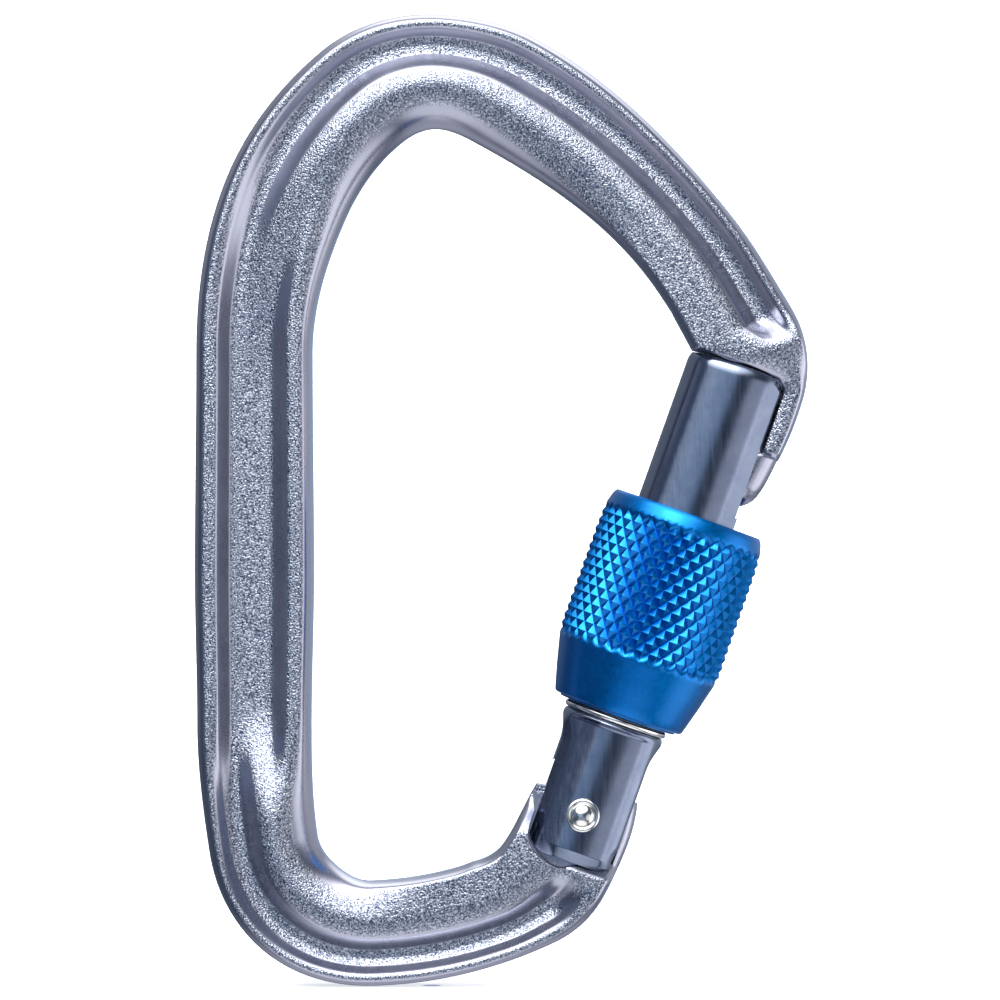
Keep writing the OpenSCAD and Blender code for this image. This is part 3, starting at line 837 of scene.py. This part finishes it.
def make_sleeve():
    """The knurled screw sleeve."""
    columns = 2 * KNURL_AROUND * KNURL_FINE
    turn = np.arange(columns) * 2 * math.pi / columns
    col = np.arange(columns) / KNURL_FINE
    rings = sleeve_rings(turn, col)
    points = [np.c_[r * np.cos(turn), r * np.sin(turn), u + 0 * turn] for r, u, _ in rings]
    faces = sleeve_faces([row for _, _, row in rings], col)
    sleeve = new_object("screw_sleeve", on_gate(np.concatenate(points)), faces, sharp=24)
    recalc(sleeve)
    return sleeve


# ---------------------------------------------------------------- materials


def grey(v):
    return (v, v, v)


def spread(low, high):
    """Colour stops for a noise's usual range."""
    return [(0.3, low), (0.7, high)]


# Colour stops, as linear RGB.
# Blasted grain: its random tone spread wide, so that the brightest specks are painted sparkle glints.
GRAIN_AND_GLINT_TONES = [(0.32, (0.07, 0.085, 0.135)), (0.5, (0.26, 0.28, 0.34)), (0.68, (0.69, 0.70, 0.74))]
MACHINED_TONES = spread((0.41, 0.41, 0.48), (0.46, 0.46, 0.53))
GATE_TONES = spread((0.175, 0.205, 0.28), (0.225, 0.26, 0.335))
BLUE_TONES = spread((0.0, 0.155, 0.48), (0.0, 0.18, 0.55))
STEEL_WEAR = 0.86
# Places of the mix node's colour sockets: its two inputs and its result.
COLOUR_A, COLOUR_B, COLOUR_RESULT = 6, 7, 2


def new_material(name, metallic=1.0):
    m = bpy.data.materials.new(name)
    m.use_nodes = True
    nt = m.node_tree
    nt.nodes.clear()
    out = nt.nodes.new("ShaderNodeOutputMaterial")
    shader = nt.nodes.new("ShaderNodeBsdfPrincipled")
    shader.inputs["Metallic"].default_value = metallic
    nt.links.new(shader.outputs["BSDF"], out.inputs["Surface"])
    return m, nt, shader


def add(nt, kind, **settings):
    """A node with some of its inputs or properties set."""
    node = nt.nodes.new(kind)
    for key, value in settings.items():
        if key in node.inputs:
            node.inputs[key].default_value = value
        else:
            setattr(node, key, value)
    return node


def noise(nt, coords, scale, detail=2.0, rough=0.5):
    n = add(nt, "ShaderNodeTexNoise", Scale=scale, Detail=detail, Roughness=rough)
    nt.links.new(coords, n.inputs["Vector"])
    return n.outputs["Fac"]


def ramp(nt, value, stops):
    """A colour ramp through (position, colour) stops."""
    n = nt.nodes.new("ShaderNodeValToRGB")
    nt.links.new(value, n.inputs["Fac"])
    while len(n.color_ramp.elements) < len(stops):
        n.color_ramp.elements.new(0.5)
    for e, (p, c) in zip(n.color_ramp.elements, stops):
        e.position = p
        e.color = (*c, 1)
    return n.outputs["Color"]


def bumps(nt, shader, layers):
    """Stacks bump layers of (height socket, depth in metres, strength) on the shader's normal."""
    last = None
    for height, depth, strength in layers:
        b = add(nt, "ShaderNodeBump", Distance=depth, Strength=strength)
        nt.links.new(height, b.inputs["Height"])
        if last is not None:
            nt.links.new(last, b.inputs["Normal"])
        last = b.outputs["Normal"]
    nt.links.new(last, shader.inputs["Normal"])


def object_coords(nt):
    return nt.nodes.new("ShaderNodeTexCoord").outputs["Object"]


def along_gate(nt, stretch):
    """Object coordinates stretched along the closed gate."""
    m = nt.nodes.new("ShaderNodeMapping")
    m.inputs["Scale"].default_value = (1, 1, stretch)
    m.inputs["Rotation"].default_value = (0, -math.atan2(GATE_UP[0], GATE_UP[2]), 0)
    nt.links.new(object_coords(nt), m.inputs["Vector"])
    return m.outputs["Vector"]


def broadness(nt, low, high):
    """0 on the flanks of a flat forging, 1 on its broad faces."""
    split = nt.nodes.new("ShaderNodeSeparateXYZ")
    nt.links.new(nt.nodes.new("ShaderNodeTexCoord").outputs["Normal"], split.inputs[0])
    size = add(nt, "ShaderNodeMath", operation="ABSOLUTE")
    nt.links.new(split.outputs["Y"], size.inputs[0])
    n = nt.nodes.new("ShaderNodeMapRange")
    n.interpolation_type = "SMOOTHSTEP"
    n.inputs["From Min"].default_value, n.inputs["From Max"].default_value = low, high
    nt.links.new(size.outputs[0], n.inputs["Value"])
    return n.outputs[0]


def mix(nt, share, a, b):
    """A colour from a, where the share is 0, to b."""
    n = add(nt, "ShaderNodeMix", data_type="RGBA")
    nt.links.new(share, n.inputs["Factor"])
    nt.links.new(a, n.inputs[COLOUR_A])
    nt.links.new(b, n.inputs[COLOUR_B])
    return n.outputs[COLOUR_RESULT]


def blasted_metal():
    """Anodised forging: broad faces carry blasted grain with painted sparkle glints in its colour, flanks and
    edges are smooth and satin.
    """
    m, nt, s = new_material("blasted_anodised_bow")
    c = object_coords(nt)
    broad = broadness(nt, 0.80, 0.93)
    grain = noise(nt, c, 5800, 1.0, 0.6)
    cloud = noise(nt, c, 160, 3.0)
    # The broad faces' colour: random grain tone plus painted sparkle glints in the bright specks.
    grain_and_glints = ramp(nt, grain, GRAIN_AND_GLINT_TONES)
    plain = ramp(nt, cloud, MACHINED_TONES)
    nt.links.new(mix(nt, broad, plain, grain_and_glints), s.inputs["Base Color"])
    satin = ramp(nt, cloud, spread(grey(0.25), grey(0.31)))
    coarse = ramp(nt, grain, spread(grey(0.24), grey(0.36)))
    nt.links.new(mix(nt, broad, satin, coarse), s.inputs["Roughness"])
    bumps(nt, s, [(grain, 0.00008, 1.0)])
    # The grain's depth: a little on the flanks, nearly full on the broad faces
    amount = add(nt, "ShaderNodeMath", operation="MULTIPLY_ADD")
    amount.inputs[1].default_value, amount.inputs[2].default_value = 0.92, 0.06
    nt.links.new(broad, amount.inputs[0])
    nt.links.new(amount.outputs[0], s.inputs["Normal"].links[0].from_node.inputs["Strength"])
    return m


def machined_metal():
    """The same anodised alloy where it is cut smooth: the tang and the nose."""
    m, nt, s = new_material("machined_anodised_bow")
    c = object_coords(nt)
    nt.links.new(ramp(nt, noise(nt, c, 160, 3.0), MACHINED_TONES), s.inputs["Base Color"])
    fine = noise(nt, c, 3000, 2.0)
    nt.links.new(ramp(nt, fine, spread(grey(0.24), grey(0.34))), s.inputs["Roughness"])
    bumps(nt, s, [(fine, 0.00001, 0.4)])
    return m


def satin_metal():
    """Satin-polished, anodised gate with faint polishing lines along it."""
    m, nt, s = new_material("satin_anodised_gate")
    lines = noise(nt, along_gate(nt, 0.03), 5200, 2.0)
    cloud = noise(nt, object_coords(nt), 420, 4.0, 0.65)
    nt.links.new(ramp(nt, cloud, GATE_TONES), s.inputs["Base Color"])
    nt.links.new(ramp(nt, lines, spread(grey(0.16), grey(0.26))), s.inputs["Roughness"])
    bumps(nt, s, [(lines, 0.000004, 0.5), (cloud, 0.00002, 0.25)])
    return m


def blue_metal():
    """Bright blue anodised sleeve: coloured metal under a clear skin."""
    m, nt, s = new_material("blue_anodised_sleeve")
    s.inputs["Coat Weight"].default_value = 0.25
    s.inputs["Coat Roughness"].default_value = 0.12
    fine = noise(nt, object_coords(nt), 2600, 2.0)
    nt.links.new(ramp(nt, fine, BLUE_TONES), s.inputs["Base Color"])
    nt.links.new(ramp(nt, fine, spread(grey(0.33), grey(0.41))), s.inputs["Roughness"])
    bumps(nt, s, [(fine, 0.000002, 0.2)])
    return m


def bright_metal(name, tone, low, high, scale):
    """Plain steel with faint wear: its colour, its roughness from low to high, and the wear's scale."""
    m, nt, s = new_material(name)
    wear = noise(nt, object_coords(nt), scale, 4.0, 0.6)
    nt.links.new(ramp(nt, wear, spread(tuple(STEEL_WEAR * v for v in tone), tone)), s.inputs["Base Color"])
    nt.links.new(ramp(nt, wear, spread(grey(low), grey(high))), s.inputs["Roughness"])
    bumps(nt, s, [(wear, 0.000008, 0.35)])
    return m


# ---------------------------------------------------------------- stage

CENTRE = np.array([7.07, 0.0, -32.45])
VIEW_WIDTH = 104.0
CAMERA_DISTANCE = 640.0
SENSOR = 36


def area_light(name, place, size, glow):
    """A soft rectangular light of some brightness, aimed at the middle of the object."""
    data = bpy.data.lights.new(name, "AREA")
    data.shape = "RECTANGLE"
    data.size, data.size_y = size[0] * MM, size[1] * MM
    data.energy = glow * math.pi * data.size * data.size_y
    lamp = bpy.data.objects.new(name, data)
    bpy.context.collection.objects.link(lamp)
    lamp.location = Vector(place) * MM
    lamp.visible_camera = False
    aim = (Vector(CENTRE) - Vector(place)).normalized()
    lamp.rotation_euler = aim.to_track_quat("-Z", "Y").to_euler()


def make_floor(low_z):
    """Pale floor that curves up into a pale wall all round; the metal mirrors the studio instead."""
    flat, bend, top, turns = 1500.0, 500.0, 1500.0, 64
    line = [(1.0, low_z), (400, low_z), (flat, low_z)]
    for a in np.linspace(0, math.pi / 2, 16)[1:]:
        line.append((flat + bend * math.sin(a), low_z + bend * (1 - math.cos(a))))
    line.append((flat + bend, low_z + top))
    floor = revolve("floor", line, columns=turns, place=lambda p: p)
    m, _, s = new_material("pale_floor", metallic=0.0)
    s.inputs["Base Color"].default_value = (0.9, 0.9, 0.9, 1)
    s.inputs["Roughness"].default_value = 0.9
    s.inputs["Emission Color"].default_value = (1, 1, 1, 1)
    s.inputs["Emission Strength"].default_value = 0.55
    floor.data.materials.append(m)
    floor.visible_glossy = False
    floor.visible_diffuse = False
    floor.visible_shadow = False


# The studio's lights: (direction, where full brightness ends and darkness starts in degrees, colour).
SOFT_BOXES = [
    ((-0.12, -0.62, 0.77), 24, 46, (3.2, 3.2, 3.2)),
    ((-0.12, -0.72, 0.68), 8, 18, (5.5, 5.5, 5.5)),
    ((0.0, 0.35, 0.94), 20, 50, (0.4, 0.42, 0.46)),
    ((0.66, -0.72, -0.25), 10, 26, (0.8, 0.8, 0.85)),
    ((0.92, -0.1, -0.33), 18, 36, (1.4, 1.4, 1.45)),
    ((0.92, 0.35, 0.1), 20, 50, (0.5, 0.5, 0.52)),
    ((-0.25, -0.96, 0.1), 6, 22, (0.25, 0.39, 0.56)),
    ((-0.85, -0.45, 0.3), 15, 40, (0.06, 0.09, 0.14)),
    ((-0.1, -0.38, -0.92), 24, 40, (1.1, 1.1, 1.15)),
    ((-0.1, -0.87, -0.48), 12, 30, (0.18, 0.23, 0.31)),
    ((0.0, 0.55, -0.84), 20, 45, (0.5, 0.5, 0.55)),
    ((-0.50, 0.72, 0.48), 16, 36, (0.25, 0.25, 0.27)),
    ((0.12, 0.72, 0.68), 12, 30, (1.8, 1.8, 1.8)),
    ((0.25, 0.96, 0.1), 8, 26, (0.3, 0.42, 0.58)),
]
SURROUND = (0.075, 0.1, 0.15)


def make_world():
    """Studio surround: a dim room with soft boxes in front overhead, to the right and under the object."""
    world = bpy.data.worlds.new("studio")
    bpy.context.scene.world = world
    world.use_nodes = True
    nt = world.node_tree
    total = None
    for direction, inner, outer, colour in SOFT_BOXES:
        dot = add(nt, "ShaderNodeVectorMath", operation="DOT_PRODUCT")
        dot.inputs[1].default_value = Vector(direction).normalized()
        nt.links.new(nt.nodes.new("ShaderNodeTexCoord").outputs["Generated"], dot.inputs[0])
        box = add(nt, "ShaderNodeMapRange", interpolation_type="SMOOTHSTEP")
        box.inputs["From Min"].default_value = math.cos(math.radians(outer))
        box.inputs["From Max"].default_value = math.cos(math.radians(inner))
        nt.links.new(dot.outputs["Value"], box.inputs["Value"])
        both = add(nt, "ShaderNodeVectorMath", operation="MULTIPLY_ADD")
        nt.links.new(box.outputs[0], both.inputs[0])
        both.inputs[1].default_value = colour
        both.inputs[2].default_value = SURROUND
        if total is not None:
            nt.links.new(total, both.inputs[2])
        total = both.outputs["Vector"]
    nt.links.new(total, nt.nodes["Background"].inputs["Color"])


def make_camera():
    """Level with the middle of the object and square to its front."""
    cam = bpy.data.cameras.new("camera")
    cam.sensor_width = SENSOR
    cam.lens = SENSOR / (VIEW_WIDTH / CAMERA_DISTANCE)
    cam.clip_start, cam.clip_end = 0.01, 10
    eye = bpy.data.objects.new("camera", cam)
    bpy.context.collection.objects.link(eye)
    eye.location = Vector(CENTRE + np.array([0, -CAMERA_DISTANCE, 0])) * MM
    eye.rotation_euler = (math.pi / 2, 0, 0)
    bpy.context.scene.camera = eye


# ---------------------------------------------------------------- assembly

make_floor(cad_box[0][2] / MM)
make_world()
area_light("top_soft", (-60, -260, 420), (420, 320), 1.0)
make_camera()
bpy.context.scene.view_settings.view_transform = "Standard"

steel = bright_metal("rivet_steel", (0.86, 0.82, 0.75), 0.08, 0.16, 900)
ring_steel = bright_metal("ring_steel", (0.88, 0.85, 0.79), 0.12, 0.2, 700)
wire_steel = bright_metal("spring_steel", (0.62, 0.62, 0.62), 0.25, 0.35, 900)
pin_steel = bright_metal("plunger_steel", (0.66, 0.66, 0.67), 0.2, 0.32, 900)
mark_machined(finish_piece(make_bow(), "bow", "frame", "frame_anodised", blasted_metal(), machined_metal()))
finish_piece(make_gate(), "gate", "gate", "gate_anodised", satin_metal())
finish_piece(make_rivet(), "gate", "gate_rivet", "rivet_steel", steel)
finish_piece(make_sleeve(), "sleeve", "locking_sleeve", "sleeve_anodised", blue_metal())
finish_piece(make_ring(), "ring", "retaining_ring", "ring_steel", ring_steel)
finish_piece(make_plunger(), "plunger", "plunger", "plunger_steel", pin_steel)
spring = finish_piece(make_spring(), "gate", "gate_spring", "spring_steel", wire_steel)
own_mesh(spring)
